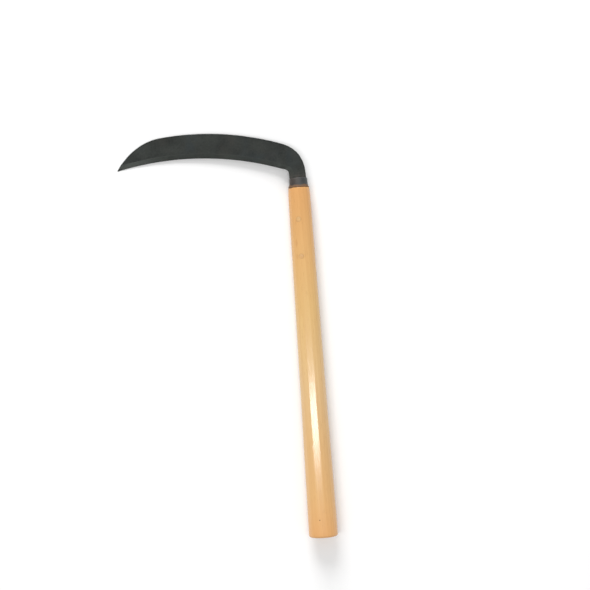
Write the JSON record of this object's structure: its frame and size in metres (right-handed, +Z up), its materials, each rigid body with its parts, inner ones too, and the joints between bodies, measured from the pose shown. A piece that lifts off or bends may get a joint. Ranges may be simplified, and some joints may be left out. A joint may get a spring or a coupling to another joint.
{
  "type": "hand sickle",
  "caption": "Hand sickle with a curved single-bevel forged blade set square to a straight varnished wooden handle.",
  "frame": {"origin": "middle of the sickle's outline on the flat surface it lies on, at the height of that surface", "axes": "+Z up from the surface, +Y along the handle from its butt to its head, the blade pointing along -X"},
  "size_m": [0.2034, 0.4276, 0.0262],
  "materials": {
    "forged_steel": "satin",
    "ferrule_steel": "satin",
    "varnished_wood": "gloss",
    "peg_wood": "satin",
    "wedge_wood": "matte"
  },
  "bodies": {
    "root": {"blade": "forged_steel", "ferrule": "ferrule_steel", "handle": "varnished_wood", "tang_wedge": "wedge_wood", "tang_peg_upper": "peg_wood", "tang_peg_lower": "peg_wood"}
  },
  "joints": []
}
